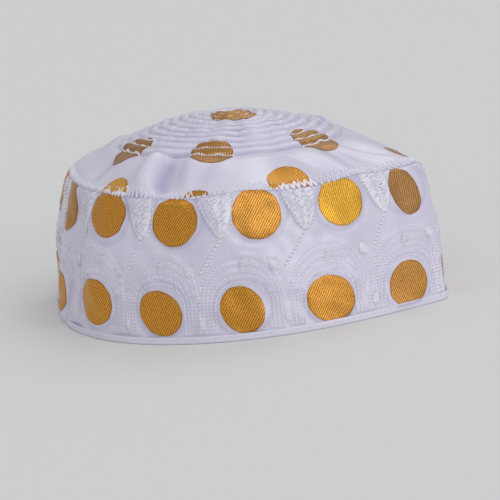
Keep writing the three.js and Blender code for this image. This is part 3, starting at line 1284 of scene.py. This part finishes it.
def sewStem(anchor):
    # from the leaf's tip to the valley between two arches, with a bud beside its foot and one by the hem
    shift = oddMotif(oddLeaves, anchor)["along"]
    tip = np.array((stem["tip"][0] + shift, leafTip + stem["tip"][1]))
    nearest = valleyAnchors[np.argmin(np.abs(angleBetween(valleyAnchors, anchor - stem["leanBack"])))]
    valleyAt = anchor + angleBetween(nearest, anchor)
    footHeight = lowerDots["height"] + archTable[-1]["top"] * stem["valley"]
    footAlong = arcBetween(anchor, valleyAt, footHeight) + stem["footShift"] * shift + stem["foot"]
    foot = np.array((footAlong, footHeight))
    bendAlong = tip[0] * stem["pull"][0] + foot[0] * stem["pull"][1] + stem["bow"]
    bend = np.array((bendAlong, (tip[1] + foot[1]) / 2))
    share = np.linspace(0, 1, stem["points"])[:, None]
    curve = tip * (1 - share) ** 2 + 2 * bend * share * (1 - share) + foot * share ** 2
    stemSewing.line(anchor, curve, stem["gap"], stem["out"])
    sewBud(anchor, footAlong, footHeight, "valley")
    sewBud(anchor, footAlong, 0, "hem")


for anchor in midAnchors:
    sewLeaf(anchor)
    sewStem(anchor)
for anchor, dotHeight in zip(lowerAnchors, lowerHeights):
    sewBud(anchor, 0, dotHeight, "arch")

leafSewing.sew("leaf_satin_stitch", "straight", leaf["threadWidth"], leaf["threadHeight"], 1.15, leafThread)
leafOutline.sew("leaf_outline_stitch", "slanted", leaf["edgeWidth"], leaf["edgeHeight"])
stemSewing.sew("leaf_stem_stitch", "slanted", stem["width"], stem["height"])
budSewing.sew("bud_satin_stitch", "straight", bud["width"], bud["height"], 1.2)

# Zigzag stitches over the crown seam
seamStitch = {
    "gap": 2.3,
    "gapUneven": 0.16,
    "up": 3.2,
    "upUneven": 0.4,
    "down": 0.7,
    "downUneven": 0.25,
    "width": 0.85,
    "widerOnGold": 1.8,
    "height": 0.4,
    "out": 0.1,
    "longer": 1.12,
    "bandRowsIn": 3.0,  # where the surface's direction is read, clear of the drawn-in seam
}


def seamZigzag():
    dice = np.random.default_rng(41)
    count = int(float(bandRound[-1]) / seamStitch["gap"])

    def uneven(name):
        return dice.uniform(-seamStitch[name], seamStitch[name], count)

    lines = lineAt(np.arange(count) + uneven("gapUneven"), count)
    half = 180 / count
    down = seamStitch["down"] + uneven("downUneven")
    lower = onBand(lines, 0, cap["seamHeight"] - down, seamStitch["out"])
    rows = (seamStitch["up"] + uneven("upUneven")) / cap["seamRadius"] * crown["rows"]
    columns = columnAt(lines + half, crown["columns"])
    crownOut = look(crownNormals, rows + 1, columns)
    upper = look(crownPoints, rows, columns) + crownOut * seamStitch["out"]
    bandRows = np.full(count, band["rows"] - seamStitch["bandRowsIn"])
    normals = crownOut + look(bandNormals, bandRows, columnAt(lines, band["columns"]))
    lift = normals / np.linalg.norm(normals, axis=1, keepdims=True) * seamStitch["out"]
    starts = np.concatenate([lower + lift, upper + lift])
    ends = np.concatenate([upper + lift, np.roll(lower + lift, -1, 0)])
    # the white thread where it crosses a dot that the seam cuts, elsewhere the copy darkened by painted shade
    middle = placed(0.0, 0.0, 0.0, 1)
    crossing = np.tile(onCrownDot(upper[:, 0] - middle[0], upper[:, 1] - middle[1]), 2)
    normals = np.tile(normals, (2, 1))
    for name, chosen, wider, thread in (
            ("seam_zigzag_stitch", ~crossing, 1, shadedThread),
            ("seam_zigzag_on_gold", crossing, seamStitch["widerOnGold"], whiteThread)):
        sewStitches(name, "straight", starts[chosen], ends[chosen], normals[chosen],
                    seamStitch["width"] * wider, seamStitch["height"], thread,
                    seamStitch["longer"])


seamZigzag()

# The crown's rings: running stitches that sink into the satin, in thread darkened by painted shade, and lie
# thick and white where they cross gold
ringStitch = {"gap": 1.6, "width": 0.7, "height": 0.3, "out": -0.05, "wander": 0}
ringOnGold = {"gap": 1.15, "width": 1.7, "height": 0.5, "out": 0.25, "wander": 0.45}
ringSewing = {"fewest": 5, "wanderPace": 0.7, "longer": 1.1}


def ringStitches(name, overGold, sewing, thread):
    starts, ends, normals = [], [], []
    for ring in range(quilting["rings"]):
        radius = quilting["outerRadius"] - ring * quilting["ringStep"]
        count = max(int(round(2 * math.pi * radius / sewing["gap"])), ringSewing["fewest"])
        first = np.arange(count) / count * 2 * np.pi + radius
        last = first + 2 * np.pi / count
        middle = (first + last) / 2
        kept = onCrownDot(radius * np.sin(middle), -radius * np.cos(middle)) == overGold
        for turn, spots in ((first[kept], starts), (last[kept], ends)):
            far = radius + sewing["wander"] * np.sin(turn * radius * ringSewing["wanderPace"] + radius)
            spots.append(onCrown(far * np.sin(turn), -far * np.cos(turn), sewing["out"]))
        row, column = crownPlace(np.degrees(middle[kept]), radius)
        normals.append(look(crownNormals, row, column))
    sewStitches(name, "slanted", np.concatenate(starts), np.concatenate(ends), np.concatenate(normals),
                sewing["width"], sewing["height"], thread, ringSewing["longer"])


ringStitches("crown_ring_stitch", False, ringStitch, shadedThread)
ringStitches("crown_ring_on_gold", True, ringOnGold, whiteThread)

# Running stitch that holds the binding, just under its upper edge
hem = {"count": 200, "share": 0.72, "height": 2.55, "width": 0.4, "thick": 0.24, "out": 0.1}


def bindingFace(line):
    azimuth = drawnRound(line, 0)
    radius = cap["rimRadius"] + bulge(azimuth, 0, "rim") + binding["out"] + hem["out"]
    return placed(azimuth, radius, hem["height"], 0)


hemLines = lineAt(np.arange(hem["count"]), hem["count"])
hemEnds = hemLines + 360 / hem["count"] * hem["share"]
hemOutward = placed(drawnRound(hemLines, 0), 1.0, 0, 0) - placed(0 * hemLines, 0.0, 0, 0)
sewStitches("hem_running_stitch", "straight", bindingFace(hemLines), bindingFace(hemEnds), hemOutward,
            hem["width"], hem["thick"], shadedThread, 1.0)
print("sewing done")


# Camera: fitted to the photograph's outline, seam and rows of dots
view = {
    "distance": 967,
    "elevation": 11.58,
    "roll": 7.07,
    "lens": 150.8,
    "lookAt": (0, 0, 38.7),  # from the panels' axis
    "lookAtPixel": (232.95, 208.86),
    "imageSize": 500,
    "sensor": 36,
}

# The stage, in metres
studio = {
    "strength": 0.541,
    "color": "#f4f5fa",
    "paper": "#e6e7e4",
    "floorSize": 14,
    "clipEnd": 60,
    "lampDistance": 3,
    "softness": 30,  # degrees of sky that each light fills
}
lightTable = namedRows(
    "name azimuth elevation strength",
    ("low_key", 35, 18, 0.48),
    ("side_key", 70, 48, 0.26),
    ("front_softbox", 0, 48, 0.44),
    ("back_fill", 150, 48, 0.26),
)


def placeCamera():
    elevation = math.radians(view["elevation"])
    roll = math.radians(view["roll"])
    ahead = Vector((0, math.cos(elevation), -math.sin(elevation)))
    right = Vector((1, 0, 0))
    up = right.cross(ahead)
    target = Vector((*cap["axisAt"], 0)) + Vector(view["lookAt"])
    place = (target - ahead * view["distance"]) * mm
    pixelLens = view["lens"] / view["sensor"] * view["imageSize"]
    # the photograph's middle, from the pixel where the target falls
    dx = view["imageSize"] / 2 - view["lookAtPixel"][0]
    dy = view["lookAtPixel"][1] - view["imageSize"] / 2
    x = dx * math.cos(roll) + dy * math.sin(roll)
    y = -dx * math.sin(roll) + dy * math.cos(roll)
    axis = (ahead * pixelLens + right * x + up * y).normalized()
    cameraData = bpy.data.cameras.new("photo_camera")
    cameraData.lens = view["lens"]
    cameraData.sensor_width = view["sensor"]
    cameraData.clip_end = studio["clipEnd"]
    camera = bpy.data.objects.new("photo_camera", cameraData)
    bpy.context.collection.objects.link(camera)
    sideways = (right - axis * right.dot(axis)).normalized()
    upright = sideways.cross(axis)
    turnedRight = sideways * math.cos(roll) - upright * math.sin(roll)
    turnedUp = sideways * math.sin(roll) + upright * math.cos(roll)
    rotation = Matrix((turnedRight, turnedUp, -axis)).transposed()
    camera.matrix_world = Matrix.Translation(place) @ rotation.to_4x4()
    bpy.context.scene.camera = camera


placeCamera()

# Floor and soft studio light
selectOnly()
bpy.ops.mesh.primitive_plane_add(size=studio["floorSize"], location=(0, 0, 0))
floor = bpy.context.object
floor.name = "studio_floor"
# Matt paper, pale grey
floorMaterial, floorShader = startMaterial("matt_paper")
floorShader.inputs["Base Color"].default_value = linear(studio["paper"])
floorShader.inputs["Roughness"].default_value = 0.9
floor.data.materials.append(floorMaterial)

for row in lightTable:
    lamp = bpy.data.lights.new(row["name"], "SUN")
    lamp.energy = row["strength"]
    lamp.angle = math.radians(studio["softness"])
    light = bpy.data.objects.new(row["name"], lamp)
    around, up = math.radians(row["azimuth"]), math.radians(row["elevation"])
    direction = Vector((math.sin(around) * math.cos(up), -math.cos(around) * math.cos(up), math.sin(up)))
    light.location = direction * studio["lampDistance"]
    light.rotation_euler = (-direction).to_track_quat("-Z", "Y").to_euler()
    bpy.context.collection.objects.link(light)

world = bpy.data.worlds.new("studio_world")
world.use_nodes = True
walls = world.node_tree.nodes["Background"]
walls.inputs["Color"].default_value = linear(studio["color"])
walls.inputs["Strength"].default_value = studio["strength"]
bpy.context.scene.world = world
bpy.context.scene.view_settings.view_transform = "Standard"  # keeps the gold's strong colour
print("stage set")
